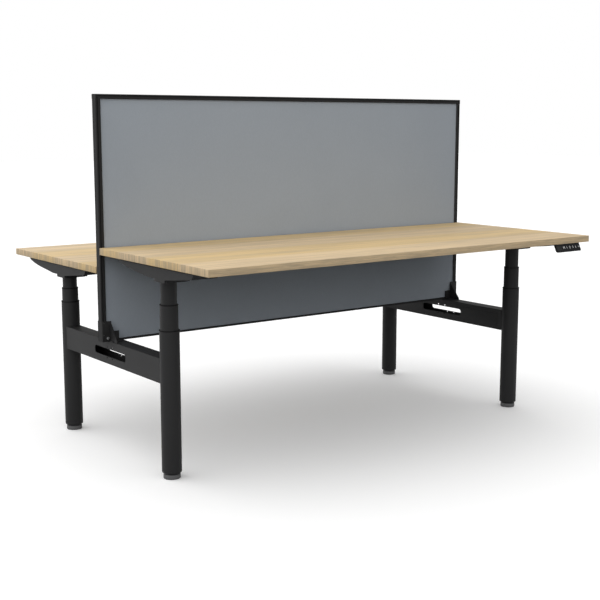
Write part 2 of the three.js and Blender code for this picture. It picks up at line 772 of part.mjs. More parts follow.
function addHandset(user, sign) {
  const group = new THREE.Group();
  group.position.set(HANDSET_X, sign * TOP_EDGE_Y, 0);
  group.rotation.z = sign > 0 ? Math.PI : 0;
  group.add(named(`${user}_handset`, handset(), handsetPlastic));
  KEY_NAMES.forEach((label, i) => group.add(named(`${user}_key_${label}`, key(i), keyPlastic)));
  return group;
}

function addDesk(user, sign, height) {
  const lift = new THREE.Group();
  lift.position.z = height - TOP_THICK;
  const columnY = FRAME_SHIFT + (sign * COLUMN_SPACING) / 2;
  const middleTop = OUTER_TOP + MIDDLE_SHOWS + (height - LOWEST_HEIGHT) / 2;
  const middle = middleTube();
  const inner = innerTube();
  const drive = liftDrive();
  const sideArm = arm();
  const flangeZ = -ARM_DEPTH - FLANGE_THICK;
  for (const [end, side] of ENDS) {
    const x = side * COLUMN_X;
    const tube = named(`${user}_${end}_middle_tube`, middle, powderCoat);
    desk.add(place(tube, x, columnY, middleTop - MIDDLE_LENGTH));
    lift.add(place(named(`${user}_${end}_inner_tube`, inner, powderCoat), x, columnY, flangeZ));
    lift.add(place(named(`${user}_${end}_lift_drive`, drive, steel), x, columnY, flangeZ));
    lift.add(place(named(`${user}_${end}_arm`, sideArm, powderCoat), x, columnY, 0));
  }
  lift.add(place(named(`${user}_top`, worktop(), oak), 0, sign * TOP_CENTRE_Y, 0));
  lift.add(place(named(`${user}_crossbar`, crossbar(), powderCoat), 0, columnY, 0));
  const boxY = columnY - sign * BOX_FROM_COLUMN;
  lift.add(place(named(`${user}_control_box`, controlBox(), boxPlastic), BOX_X, boxY, 0));
  lift.add(addHandset(user, sign));
  desk.add(lift);
}

addScreen();
addUnderframe();
for (const [user, sign, height] of DESKS) {
  addDesk(user, sign, height);
}

export default desk;
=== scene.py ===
"""Looks of the benching desk for two: oak worktops, black telescopic frame, framed grey screen."""
import json
import math

import bpy
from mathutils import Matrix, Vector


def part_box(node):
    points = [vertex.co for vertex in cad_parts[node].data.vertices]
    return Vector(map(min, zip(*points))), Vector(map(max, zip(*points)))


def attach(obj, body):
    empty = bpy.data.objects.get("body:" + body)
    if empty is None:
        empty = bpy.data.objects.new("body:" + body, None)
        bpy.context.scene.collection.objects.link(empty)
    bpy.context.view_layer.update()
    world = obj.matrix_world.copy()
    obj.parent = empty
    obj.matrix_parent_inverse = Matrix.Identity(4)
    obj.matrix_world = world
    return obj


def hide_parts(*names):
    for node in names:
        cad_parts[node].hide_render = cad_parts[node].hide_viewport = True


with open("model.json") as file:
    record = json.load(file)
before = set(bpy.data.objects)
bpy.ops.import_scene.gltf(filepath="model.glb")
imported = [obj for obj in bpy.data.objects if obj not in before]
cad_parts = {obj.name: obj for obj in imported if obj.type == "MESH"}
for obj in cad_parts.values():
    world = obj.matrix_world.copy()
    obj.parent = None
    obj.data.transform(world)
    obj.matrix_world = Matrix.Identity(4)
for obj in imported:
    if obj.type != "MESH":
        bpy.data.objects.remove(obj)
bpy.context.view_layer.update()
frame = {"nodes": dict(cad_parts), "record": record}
nodes = frame["nodes"]
MM = 0.001
ENDS = (("left", -1), ("right", 1))
DESKS = (("near", -1), ("far", 1))
TOUCHING = 0.001 * MM
SMOOTH_ANGLE = 35


# Node helpers
def node_tree(material):
    material.use_nodes = True
    tree = material.node_tree
    tree.nodes.clear()
    return tree


def add(tree, kind, **settings):
    node = tree.nodes.new(kind)
    for name, value in settings.items():
        setattr(node, name, value)
    return node


def link(tree, source, target):
    tree.links.new(source, target)


def feed(tree, socket, value):
    """Sets a socket to a number or colour, or links it to another node's output."""
    if isinstance(value, bpy.types.NodeSocket):
        link(tree, value, socket)
    elif isinstance(value, tuple):
        socket.default_value = (*value, 1) if len(value) == 3 else value
    else:
        socket.default_value = value


def math_node(tree, operation, a, b=0.0, clamp=False):
    node = add(tree, "ShaderNodeMath", operation=operation, use_clamp=clamp)
    feed(tree, node.inputs[0], a)
    feed(tree, node.inputs[1], b)
    return node.outputs[0]


def mix_colour(tree, factor, a, b, blend="MIX"):
    node = add(tree, "ShaderNodeMix", data_type="RGBA", blend_type=blend)
    feed(tree, node.inputs[0], factor)
    feed(tree, node.inputs[6], a)
    feed(tree, node.inputs[7], b)
    return node.outputs[2]


def map_range(tree, value, low, high, to_low=0.0, to_high=1.0):
    node = add(tree, "ShaderNodeMapRange")
    for socket, number in zip(node.inputs, (value, low, high, to_low, to_high)):
        feed(tree, socket, number)
    return node.outputs[0]


def stretched_noise(tree, vector, scale, stretch=(1, 1, 1), detail=3.0):
    mapping = add(tree, "ShaderNodeMapping")
    mapping.inputs["Scale"].default_value = stretch
    link(tree, vector, mapping.inputs["Vector"])
    noise = add(tree, "ShaderNodeTexNoise")
    noise.inputs["Scale"].default_value = scale
    noise.inputs["Detail"].default_value = detail
    link(tree, mapping.outputs[0], noise.inputs["Vector"])
    return noise.outputs[0]


def object_place(tree):
    return add(tree, "ShaderNodeTexCoord").outputs["Object"]


def axes(tree, vector):
    split = add(tree, "ShaderNodeSeparateXYZ")
    link(tree, vector, split.inputs[0])
    return split.outputs["X"], split.outputs["Y"], split.outputs["Z"]


def new_group(name, inputs, outputs):
    """An empty node group: inputs are (name, kind, default), outputs are (name, kind)."""
    tree = bpy.data.node_groups.new(name, "ShaderNodeTree")
    for socket_name, kind, default in inputs:
        socket = tree.interface.new_socket(socket_name, in_out="INPUT", socket_type=kind)
        socket.default_value = default
    for socket_name, kind in outputs:
        tree.interface.new_socket(socket_name, in_out="OUTPUT", socket_type=kind)
    return tree, add(tree, "NodeGroupInput").outputs, add(tree, "NodeGroupOutput").inputs


def principled(tree, roughness, **extra):
    shader = add(tree, "ShaderNodeBsdfPrincipled")
    shader.inputs["Roughness"].default_value = roughness
    for name, value in extra.items():
        shader.inputs[name.replace("_", " ")].default_value = value
    out = add(tree, "ShaderNodeOutputMaterial")
    link(tree, shader.outputs[0], out.inputs[0])
    return shader


def bump(tree, shader, height, distance):
    node = add(tree, "ShaderNodeBump")
    node.inputs["Distance"].default_value = distance
    link(tree, height, node.inputs["Height"])
    link(tree, node.outputs[0], shader.inputs["Normal"])


# Coated metal and moulded plastic share one fine grit
CLOUD_SCALE = 6.0


def make_grit():
    """Fine texture height, and a slow change of tone, over the surface."""
    tree, given, result = new_group(
        "fine_grit",
        [("Scale", "NodeSocketFloat", 900.0), ("Tone", "NodeSocketFloat", 0.12)],
        [("Height", "NodeSocketFloat"), ("Shade", "NodeSocketFloat")],
    )
    place = object_place(tree)
    fine = add(tree, "ShaderNodeTexNoise")
    fine.inputs["Detail"].default_value = 2.0
    link(tree, place, fine.inputs["Vector"])
    link(tree, given["Scale"], fine.inputs["Scale"])
    slow = math_node(tree, "SUBTRACT", stretched_noise(tree, place, CLOUD_SCALE), 0.5)
    speck = math_node(tree, "SUBTRACT", fine.outputs[0], 0.5)
    uneven = math_node(tree, "ADD", slow, speck)
    shade = math_node(tree, "ADD", math_node(tree, "MULTIPLY", uneven, given["Tone"]), 1.0)
    link(tree, fine.outputs[0], result["Height"])
    link(tree, shade, result["Shade"])
    return tree


GRIT = make_grit()


def gritty(name, colour, roughness, scale=900.0, depth=0.06 * MM, tone=0.15, **extra):
    """Coated, moulded or plated surface: fine texture, slightly uneven in colour and sheen."""
    material = bpy.data.materials.new(name)
    tree = node_tree(material)
    shader = principled(tree, roughness, **extra)
    grit = add(tree, "ShaderNodeGroup", node_tree=GRIT)
    grit.inputs["Scale"].default_value = scale
    grit.inputs["Tone"].default_value = tone
    shade = grit.outputs["Shade"]
    link(tree, mix_colour(tree, 1.0, colour, shade, "MULTIPLY"), shader.inputs["Base Color"])
    link(tree, math_node(tree, "MULTIPLY", shade, roughness), shader.inputs["Roughness"])
    bump(tree, shader, grit.outputs["Height"], depth)
    return material


# Oak: one grain for the faces and for the bands on the edges
BEIGE_OAK = (0.705, 0.54, 0.335)
YELLOW_OAK = (0.70, 0.515, 0.265)
GREY_GRAIN = (0.41, 0.33, 0.23)
PORE = (0.33, 0.245, 0.15)
STAVE_MIDDLE = 0.482
STAVE_PERIOD = 0.42
STAVE_BLUR = 0.25
BROAD_SCALE = 16.0
THIN_SCALE = 60.0
PORE_SCALE = 420.0
PORE_STRENGTH = 0.4
OAK_ROUGHNESS = 0.6
OAK_SHEEN = 0.18


def make_oak_grain():
    """Oak seen along its grain, which runs along the vector's X: beige or yellow staves, streaks, pores."""
    tree, given, result = new_group(
        "oak_grain",
        [
            ("Vector", "NodeSocketVector", (0, 0, 0)),
            ("Yellow", "NodeSocketFloat", 0.5),
            ("Streaks", "NodeSocketFloat", 0.3),
        ],
        [("Colour", "NodeSocketColor"), ("Height", "NodeSocketFloat")],
    )
    place = given["Vector"]
    wide = stretched_noise(tree, place, BROAD_SCALE, (0.1, 1, 1), 2.0)
    narrow = stretched_noise(tree, place, THIN_SCALE, (0.04, 1, 1), 4.0)
    pores = stretched_noise(tree, place, PORE_SCALE, (0.03, 1, 1), 2.0)
    wood = mix_colour(tree, given["Yellow"], BEIGE_OAK, YELLOW_OAK)
    broad = math_node(tree, "MULTIPLY", map_range(tree, wide, 0.45, 0.65), given["Streaks"])
    wood = mix_colour(tree, broad, wood, GREY_GRAIN)
    thin = math_node(tree, "MULTIPLY", map_range(tree, narrow, 0.48, 0.56), given["Streaks"])
    wood = mix_colour(tree, thin, wood, GREY_GRAIN)
    fleck = map_range(tree, pores, 0.56, 0.78, 0.0, PORE_STRENGTH)
    link(tree, mix_colour(tree, fleck, wood, PORE), result["Colour"])
    link(tree, math_node(tree, "ADD", pores, math_node(tree, "MULTIPLY", narrow, 0.5)), result["Height"])
    return tree


OAK_GRAIN = make_oak_grain()


def staves(tree, across):
    """1 on the yellow staves and 0 on the beige ones, by the distance from the screen."""
    from_screen = math_node(tree, "ABSOLUTE", across)
    from_middle = math_node(tree, "SUBTRACT", from_screen, STAVE_MIDDLE)
    turns = math_node(tree, "MULTIPLY", from_middle, math.tau / STAVE_PERIOD)
    return map_range(tree, math_node(tree, "COSINE", turns), -STAVE_BLUR, STAVE_BLUR)


def oak(name, order, streaks, yellow=None, fineness=1.0, depth=0.1 * MM):
    """Oak with its grain along the first axis in order; staves show unless a plain yellow is given."""
    material = bpy.data.materials.new(name)
    tree = node_tree(material)
    shader = principled(tree, OAK_ROUGHNESS, Specular_IOR_Level=OAK_SHEEN)
    place = dict(zip("XYZ", axes(tree, object_place(tree))))
    turned_place = add(tree, "ShaderNodeCombineXYZ")
    for socket, axis in zip(turned_place.inputs, order):
        link(tree, place[axis], socket)
    finer_place = add(tree, "ShaderNodeVectorMath", operation="SCALE")
    link(tree, turned_place.outputs[0], finer_place.inputs["Vector"])
    finer_place.inputs["Scale"].default_value = fineness
    grain = add(tree, "ShaderNodeGroup", node_tree=OAK_GRAIN)
    link(tree, finer_place.outputs[0], grain.inputs["Vector"])
    feed(tree, grain.inputs["Yellow"], staves(tree, place["Y"]) if yellow is None else yellow)
    grain.inputs["Streaks"].default_value = streaks
    link(tree, grain.outputs["Colour"], shader.inputs["Base Color"])
    uneven = map_range(tree, grain.outputs["Height"], 0.4, 1.0, 0.55, 0.68)
    link(tree, uneven, shader.inputs["Roughness"])
    bump(tree, shader, grain.outputs["Height"], depth)
    return material


WEAVE_PITCH = 1.6 * MM
THREAD_TONE = 0.03
SLUB_SCALE = 500.0


def woven_cloth(name, colour):
    """Plain weave: two crossing sets of threads, with small slubs."""
    material = bpy.data.materials.new(name)
    tree = node_tree(material)
    shader = principled(tree, 0.9, Sheen_Weight=0.05, Specular_IOR_Level=0.2)
    place = object_place(tree)
    across, _, upward = axes(tree, place)
    threads = []
    for axis in (across, upward):
        turns = math_node(tree, "MULTIPLY", axis, math.tau / WEAVE_PITCH)
        threads.append(math_node(tree, "SINE", turns))
    weave = math_node(tree, "MULTIPLY", threads[0], threads[1])
    slub = stretched_noise(tree, place, SLUB_SCALE, (1, 1, 0.25), 2.0)
    cloudy = stretched_noise(tree, place, 5.0)
    threaded = math_node(tree, "MULTIPLY", weave, THREAD_TONE)
    tone = math_node(tree, "ADD", threaded, map_range(tree, slub, 0, 1, 0.93, 1.07))
    tone = math_node(tree, "MULTIPLY", tone, map_range(tree, cloudy, 0.2, 0.8, 0.98, 1.02))
    link(tree, mix_colour(tree, 1.0, colour, tone, "MULTIPLY"), shader.inputs["Base Color"])
    link(tree, map_range(tree, slub, 0, 1, 0.85, 0.95), shader.inputs["Roughness"])
    bump(tree, shader, math_node(tree, "ADD", weave, slub), 0.08 * MM)
    return material


COAT = gritty(
    "black_powder_coat", (0.0212, 0.0212, 0.0217),
    0.55, tone=0.2, Specular_IOR_Level=0.16,
)
FRAME_BLACK = gritty(
    "black_screen_frame", (0.023, 0.023, 0.0235),
    0.6, depth=0.03 * MM, Specular_IOR_Level=0.1,
)
FOOT = gritty("foot_plastic", (0.1, 0.1, 0.102), 0.6, scale=1500.0)
STEEL = gritty("drive_steel", (0.45, 0.46, 0.47), 0.35, scale=300.0, depth=0.02 * MM, Metallic=1.0)
ZINC = gritty("zinc_plating", (0.33, 0.335, 0.34), 0.42, scale=700.0, depth=0.02 * MM, Metallic=1.0)
SCREW_BLACK = gritty("black_screws", (0.01, 0.01, 0.01), 0.38, scale=1200.0, depth=0.02 * MM)
GLIDE = gritty(
    "glide_plastic", (0.003, 0.003, 0.003),
    0.6, scale=1600.0, depth=0.02 * MM, Specular_IOR_Level=0.08,
)
BOX = gritty("box_plastic", (0.014, 0.014, 0.015), 0.6, scale=1200.0)
HANDSET = gritty(
    "handset_plastic", (0.009, 0.009, 0.0095),
    0.5, scale=1800.0, Specular_IOR_Level=0.2,
)
KEY = gritty(
    "key_plastic", (0.01, 0.01, 0.0105),
    0.5, scale=2200.0, depth=0.03 * MM, Specular_IOR_Level=0.2,
)
WINDOW = gritty("display_window", (0.006, 0.006, 0.007), 0.08, scale=400.0, depth=0.002 * MM)
PRINT = gritty("white_print", (0.92, 0.92, 0.91), 0.6, scale=2500.0, depth=0.01 * MM)
CLOTH = woven_cloth("screen_cloth", (0.355, 0.393, 0.438))
OAK_FACE = oak("oak_face", "XYZ", 0.3)
# Long edge bands: beige oak with fewer streaks. This is partly the edge's own grain and partly painted
# light that makes the front and back faces brighter.
OAK_LONG_EDGE = oak("oak_long_edge", "XZY", 0.42, yellow=0.05, fineness=4.0)
# End bands: strong grey stripes. These are partly the end grain and partly painted shade that makes the end
# faces darker.
OAK_END = oak("oak_end", "ZYX", 0.58, fineness=2.6)
SLOT_MATERIALS = {
    "oak": OAK_FACE,
    "powder_coat": COAT,
    "screen_frame": FRAME_BLACK,
    "screen_cloth": CLOTH,
    "foot_plastic": FOOT,
    "drive_steel": STEEL,
    "box_plastic": BOX,
    "handset_plastic": HANDSET,
    "key_plastic": KEY,
}


# Modelling helpers: each starts from one primitive and shapes it in edit mode
def deselect():
    bpy.ops.object.select_all(action="DESELECT")


def activate(piece):
    deselect()
    piece.select_set(True)
    bpy.context.view_layer.objects.active = piece


def settle(piece):
    """Puts the piece's place, turn and size into its mesh."""
    activate(piece)
    bpy.ops.object.transform_apply(location=True, rotation=True, scale=True)
    return piece


def edit(select="SELECT", mode="VERT"):
    bpy.ops.object.mode_set(mode="EDIT")
    bpy.ops.mesh.select_mode(type=mode)
    bpy.ops.mesh.select_all(action=select)


def leave_edit():
    bpy.ops.object.mode_set(mode="OBJECT")


def pick_edges(piece, wanted):
    """Leaves the piece in edit mode with the edges selected whose two ends both pass."""
    edit("DESELECT", "EDGE")
    leave_edit()
    points = piece.data.vertices
    for line in piece.data.edges:
        ends = [points[i].co for i in line.vertices]
        line.select = wanted(*ends)
    bpy.ops.object.mode_set(mode="EDIT")


def pick_faces(piece, wanted):
    """Leaves the piece in edit mode with the faces selected whose centre and normal pass."""
    edit("DESELECT", "FACE")
    leave_edit()
    for face in piece.data.polygons:
        face.select = wanted(face.center, face.normal)
    bpy.ops.object.mode_set(mode="EDIT")


def near(a, b):
    return abs(a - b) < TOUCHING


def block(name, low, high):
    """A box between two corners, to be shaped further."""
    deselect()
    middle = [(a + b) / 2 for a, b in zip(low, high)]
    size = [b - a for a, b in zip(low, high)]
    bpy.ops.mesh.primitive_cube_add(size=1, location=middle, scale=size)
    piece = bpy.context.object
    piece.name = name
    return settle(piece)


def soften(piece, offset, wanted=lambda a, b: True, segments=3):
    """Rounds the edges that pass."""
    pick_edges(piece, wanted)
    bpy.ops.mesh.bevel(offset=offset, segments=segments, affect="EDGES")
    leave_edit()
    return piece


def turned(name, rings, sides=48, hollow=False):
    """A shape turned round Z, drawn ring by ring as (radius, height); hollow ones close on themselves."""
    deselect()
    radius, height = rings[0]
    fill = "NOTHING" if hollow else "NGON"
    start = (0, 0, height)
    bpy.ops.mesh.primitive_circle_add(vertices=sides, radius=radius, fill_type=fill, location=start)
    piece = bpy.context.object
    piece.name = name
    settle(piece)
    edit(mode="EDGE")
    for next_radius, next_height in rings[1:]:
        bpy.ops.mesh.extrude_region_move(TRANSFORM_OT_translate={"value": (0, 0, next_height - height)})
        grow = next_radius / radius
        bpy.ops.transform.resize(value=(grow, grow, 1), center_override=(0, 0, next_height))
        radius, height = next_radius, next_height
    bpy.ops.mesh.select_all(action="SELECT")
    bpy.ops.mesh.remove_doubles(threshold=TOUCHING)
    bpy.ops.mesh.normals_make_consistent(inside=False)
    leave_edit()
    return piece


def cut(piece, cutter):
    """Takes the cutter's shape out of the piece."""
    activate(piece)
    bpy.ops.object.modifier_add(type="BOOLEAN")
    modifier = piece.modifiers[-1]
    modifier.operation = "DIFFERENCE"
    modifier.object = cutter
    bpy.ops.object.modifier_apply(modifier=modifier.name)
    bpy.data.objects.remove(cutter)
    return piece


def copy_to(piece, name, place, turn=(0, 0, 0)):
    """A copy with its own mesh, turned and then moved from the origin to its place."""
    activate(piece)
    bpy.ops.object.duplicate()
    copy = bpy.context.object
    copy.name = name
    copy.rotation_euler = turn
    copy.location = place
    return settle(copy)


def join(name, pieces):
    activate(pieces[0])
    for piece in pieces[1:]:
        piece.select_set(True)
    bpy.ops.object.join()
    joined = bpy.context.object
    joined.name = name
    return joined


def paint(piece, material):
    piece.data.materials.clear()
    piece.data.materials.append(material)


def smooth(piece):
    """Shades the piece smooth, but for its sharper edges."""
    activate(piece)
    bpy.ops.object.shade_smooth_by_angle(angle=math.radians(SMOOTH_ANGLE))


def fit(piece, body, material, replaces=()):
    """Finishes a piece and lets it ride on its body."""
    paint(piece, material)
    smooth(piece)
    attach(piece, body)
    for node in replaces:
        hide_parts(node)


for part in frame["record"]["subparts"]:
    node = nodes[part["node"]]
    paint(node, SLOT_MATERIALS[part["material_slot"]])
    smooth(node)


# Worktops: a board inside four edge bands
BAND = 2.0 * MM
BAND_ROUND = 1.2 * MM
BOARD_ROUND = 0.15 * MM


def edge_band(name, low, high, axis, outside):
    """A band on one edge of the board, rounded where its outer face meets the others."""
    band = block(name, low, high)
    return soften(band, BAND_ROUND, lambda a, b: near(a[axis], outside) and near(b[axis], outside))


def worktop(user, front):
    node, body = f"{user}_top", f"{user}_desk"
    low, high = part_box(node)
    board_low = (low[0] + BAND, low[1] + BAND, low[2])
    board_high = (high[0] - BAND, high[1] - BAND, high[2])
    board = soften(block(f"{user}_board", board_low, board_high), BOARD_ROUND)
    fit(board, body, OAK_FACE, [node])
    left = edge_band(f"{user}_left_band", low, (board_low[0], high[1], high[2]), 0, low[0])
    right = edge_band(f"{user}_right_band", (board_high[0], low[1], low[2]), high, 0, high[0])
    for band in (left, right):
        fit(band, body, OAK_END, [node])
    low_name, high_name = ("front", "back") if front < 0 else ("back", "front")
    lower = edge_band(
        f"{user}_{low_name}_band",
        (board_low[0], low[1], low[2]),
        (board_high[0], board_low[1], high[2]),
        1,
        low[1],
    )
    upper = edge_band(
        f"{user}_{high_name}_band",
        (board_low[0], board_high[1], low[2]),
        (board_high[0], high[1], high[2]),
        1,
        high[1],
    )
    for band in (lower, upper):
        fit(band, body, OAK_LONG_EDGE, [node])


for user, front in DESKS:
    worktop(user, front)


# Glide rings at the mouths of the outer and middle tubes
COLUMN_SIDES = 96
RING_HEIGHT = 2 * MM
RING_EDGE = 0.4 * MM
OUTER_RING = (31.75 * MM, 36 * MM)
MIDDLE_RING = (28.25 * MM, 32.5 * MM)


def glide_ring(name, bore, rim):
    """A thin plastic ring with a rounded top, its seat at height 0."""
    return turned(
        name,
        [
            (bore, 0),
            (rim, 0),
            (rim, RING_HEIGHT - 2 * RING_EDGE),
            (rim - RING_EDGE / 3, RING_HEIGHT - RING_EDGE / 2),
            (rim - RING_EDGE, RING_HEIGHT),
            (bore + RING_EDGE, RING_HEIGHT),
            (bore, RING_HEIGHT - RING_EDGE),
            (bore, 0),
        ],
        sides=COLUMN_SIDES,
        hollow=True,
    )


def top_middle(node):
    """The middle of the top of a node's box."""
    low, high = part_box(node)
    return (low[0] + high[0]) / 2, (low[1] + high[1]) / 2, high[2]


outer_ring = glide_ring("outer_ring", *OUTER_RING)
middle_ring = glide_ring("middle_ring", *MIDDLE_RING)
for user, _ in DESKS:
    for end, _ in ENDS:
        for stage, ring, body in (
            ("outer", outer_ring, "frame"),
            ("middle", middle_ring, f"{user}_middle_tubes"),
        ):
            column = f"{user}_{end}_{stage}"
            piece = copy_to(ring, f"{column}_glide_ring", top_middle(f"{column}_tube"))
            fit(piece, body, GLIDE)
for ring in (outer_ring, middle_ring):
    bpy.data.objects.remove(ring)


# Columns: three round tubes each, the smallest with its head flange
FLANGE_UNDERSIDE = 53.5 * MM
FLANGE_HALF = 48.5 * MM
FLANGE_THICK = 10 * MM
FLANGE_SQUARE = 58.7 * MM
SLIT_OUTER = 46.5 * MM
SLIT_INNER = 40.5 * MM
SLIT_END = -31 * MM
SLIT_TOP = 8 * MM
FLANGE_WALL = 2.5 * MM
HOLLOW_HALF = 41.5 * MM
HOLLOW_BACK = -30 * MM
HOLLOW_TOP = 7 * MM
OVERCUT = 1 * MM


def in_mm(rings):
    return [(radius * MM, height * MM) for radius, height in rings]


def outer_tube():
    """The lowest tube, standing on height 0: a rounded foot with a plug, and a lip inside its mouth."""
    steps = [k * math.pi / 12 for k in range(7)]
    corner = [(31 + 4 * math.sin(a), 4 - 4 * math.cos(a)) for a in steps]
    mouth = [(35, 499.5), (34.85, 499.85), (34.5, 500), (31.7, 500), (31.7, 475), (32.5, 475)]
    plug = [(32.5, 8), (5.2, 8), (5.2, 0)]
    rings = [(5.2, 0), *corner, *mouth, *plug]
    return turned("outer_tube", in_mm(rings), COLUMN_SIDES, hollow=True)


def middle_tube():
    """The middle tube, standing on height 0: a thick glide at its foot and a lip inside its mouth."""
    glide = [(29, 0), (32.3, 0), (32.3, 25), (31.5, 25)]
    mouth = [(31.5, 489.6), (31.4, 489.9), (31.1, 490), (28.2, 490), (28.2, 465), (29, 465)]
    return turned("middle_tube", in_mm([*glide, *mouth, (29, 0)]), COLUMN_SIDES, hollow=True)


def head_flange():
    """A plate round at the back and square in front, hollow behind a thin front with two slits."""
    deselect()
    middle = (0, 0, FLANGE_THICK / 2)
    bpy.ops.mesh.primitive_cylinder_add(
        vertices=COLUMN_SIDES, radius=FLANGE_HALF, depth=FLANGE_THICK, location=middle
    )
    flange = bpy.context.object
    flange.name = "head_flange"
    settle(flange)
    edit()
    bpy.ops.mesh.bisect(plane_co=(0, 0, 0), plane_no=(0, 1, 0), use_fill=True, clear_inner=True)
    leave_edit()
    pick_faces(flange, lambda centre, normal: normal.y < -0.99)
    bpy.ops.mesh.extrude_region_move(TRANSFORM_OT_translate={"value": (0, -FLANGE_SQUARE, 0)})
    leave_edit()
    for _, side in ENDS:
        xs = sorted((side * SLIT_INNER, side * SLIT_OUTER))
        low = (xs[0], -FLANGE_SQUARE - OVERCUT, -OVERCUT)
        cut(flange, block("slit", low, (xs[1], SLIT_END, SLIT_TOP)))
    low = (-HOLLOW_HALF, FLANGE_WALL - FLANGE_SQUARE, -OVERCUT)
    return cut(flange, block("hollow", low, (HOLLOW_HALF, HOLLOW_BACK, HOLLOW_TOP)))


def inner_tube():
    """The upper tube, hanging from the underside of its flange at height 0."""
    glide = [(25.5, -485), (28.8, -485), (28.8, -460), (28, -460)]
    rings = [*glide, (28, 5), (25.5, 5), (25.5, -485)]
    tube = turned("tube", in_mm(rings), COLUMN_SIDES, hollow=True)
    return join("inner_tube", [tube, head_flange()])


def levelling_foot():
    """A disc with soft rims, a hexagon to turn it by, and its stem."""
    disc = in_mm([(27.5, 0), (29.2, 0.6), (30, 2.2), (30, 14), (29.3, 15.7), (27.8, 16.5), (10, 16.5)])
    neck = in_mm([(13, 16.4), (13, 19.2), (12.2, 20), (5.2, 20)])
    stem = in_mm([(5, 19.9), (5, 33.5), (4.5, 34)])
    return join(
        "levelling_foot",
        [turned("disc", disc, COLUMN_SIDES), turned("neck", neck, 6), turned("stem", stem, 32)],
    )


OUTER_TUBE = outer_tube()
MIDDLE_TUBE = middle_tube()
INNER_TUBE = inner_tube()
FOOT_MASTER = levelling_foot()
for user, _ in DESKS:
    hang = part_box(f"{user}_top")[0][2] - FLANGE_UNDERSIDE
    for end, _ in ENDS:
        column = f"{user}_{end}"
        x, y, _ = top_middle(f"{column}_outer_tube")
        for stage, master, body, height in (
            ("outer", OUTER_TUBE, "frame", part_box(f"{column}_outer_tube")[0][2]),
            ("middle", MIDDLE_TUBE, f"{user}_middle_tubes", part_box(f"{column}_middle_tube")[0][2]),
            ("inner", INNER_TUBE, f"{user}_desk", hang),
        ):
            piece = copy_to(master, f"{column}_{stage}_column", (x, y, height))
            fit(piece, body, COAT, [f"{column}_{stage}_tube"])
        disc = copy_to(FOOT_MASTER, f"{column}_levelling_foot", (x, y, 0))
        fit(disc, f"{column}_foot", FOOT, [f"{column}_foot"])
for master in (OUTER_TUBE, MIDDLE_TUBE, INNER_TUBE, FOOT_MASTER):
    bpy.data.objects.remove(master)


# Beams: a hollow bar with rounded edges between two columns, its slot and its inner cover plate
BEAM_HALF = 30 * MM
BEAM_REACH = 394 * MM
BEAM_BOTTOM = 336 * MM
BEAM_TOP = 424 * MM
BEAM_WALL = 2.5 * MM
BEAM_ROUND = 1.5 * MM
COLUMN_CUT = 35.3 * MM
SLOT_HALF = 123 * MM
SLOT_LOW = 364 * MM
SLOT_HIGH = 393.6 * MM
SLOT_ROUND = 11 * MM
HOLE_RADIUS = 3.2 * MM
HOLE_YS = (-21 * MM, 21 * MM)
HOLE_ZS = (360 * MM, 400 * MM)
COVER_HALF = 346 * MM
COVER_LOW = 345.8 * MM
COVER_HIGH = 407.8 * MM
COVER_THICK = 1.6 * MM
COVER_ROUND = 8 * MM
COVER_GAP = 1.2 * MM
COVER_LIP = 4 * MM
COVER_EDGE = 0.3 * MM


def plate(name, x_low, x_high, half, z_low, z_high, corner):
    """A plate across X, whose four corners are rounded in the YZ plane."""
    sheet = block(name, (x_low, -half, z_low), (x_high, half, z_high))
    return soften(sheet, corner, lambda a, b: near(a.y, b.y) and near(a.z, b.z), segments=8)


def cut_openings(piece):
    """Cuts the cable slot and its four small holes right through."""
    wide = BEAM_HALF + OVERCUT
    cut(piece, plate("slot", -wide, wide, SLOT_HALF, SLOT_LOW, SLOT_HIGH, SLOT_ROUND))
    for y in HOLE_YS:
        for z in HOLE_ZS:
            hole = turned("hole", [(HOLE_RADIUS, -wide), (HOLE_RADIUS, wide)], sides=24)
            hole.rotation_euler = (0, math.pi / 2, 0)
            hole.location = (0, y, z)
            cut(piece, settle(hole))
    return piece


def beam():
    """The left beam about its own middle, its cover's side towards +X."""
    bar = block("beam", (-BEAM_HALF, -BEAM_REACH, BEAM_BOTTOM), (BEAM_HALF, BEAM_REACH, BEAM_TOP))
    soften(bar, BEAM_ROUND, lambda a, b: near(a.x, b.x) and near(a.z, b.z))
    inside = BEAM_HALF - BEAM_WALL
    low = (-inside, -BEAM_REACH - OVERCUT, BEAM_BOTTOM + BEAM_WALL)
    cut(bar, block("hollow", low, (inside, BEAM_REACH + OVERCUT, BEAM_TOP - BEAM_WALL)))
    for y in (-BEAM_REACH, BEAM_REACH):
        rings = [(COLUMN_CUT, BEAM_BOTTOM - OVERCUT), (COLUMN_CUT, BEAM_TOP + OVERCUT)]
        column = turned("column", rings, COLUMN_SIDES)
        column.location = (0, y, 0)
        cut(bar, settle(column))
    for x, grow in ((BEAM_HALF - COVER_THICK, COVER_GAP), (inside - OVERCUT, -COVER_LIP)):
        window = plate(
            "window",
            x,
            BEAM_HALF + OVERCUT,
            COVER_HALF + grow,
            COVER_LOW - grow,
            COVER_HIGH + grow,
            COVER_ROUND + grow,
        )
        cut(bar, window)
    return cut_openings(bar)


def beam_cover():
    """The cover plate of the left beam, with softened outer edges."""
    inner_face = BEAM_HALF - COVER_THICK
    sheet = plate("cover", inner_face, BEAM_HALF, COVER_HALF, COVER_LOW, COVER_HIGH, COVER_ROUND)
    soften(sheet, COVER_EDGE, lambda a, b: near(a.x, BEAM_HALF) and near(b.x, BEAM_HALF))
    return cut_openings(sheet)


BEAM = beam()
COVER = beam_cover()
for end, side in ENDS:
    x, y, _ = top_middle(f"{end}_beam")
    turn = (0, 0, 0 if side < 0 else math.pi)
    for node, master in ((f"{end}_beam", BEAM), (f"{end}_beam_cover", COVER)):
        fit(copy_to(master, f"{node}_steel", (x, y, 0), turn), "frame", COAT, [node])
for master in (BEAM, COVER):
    bpy.data.objects.remove(master)


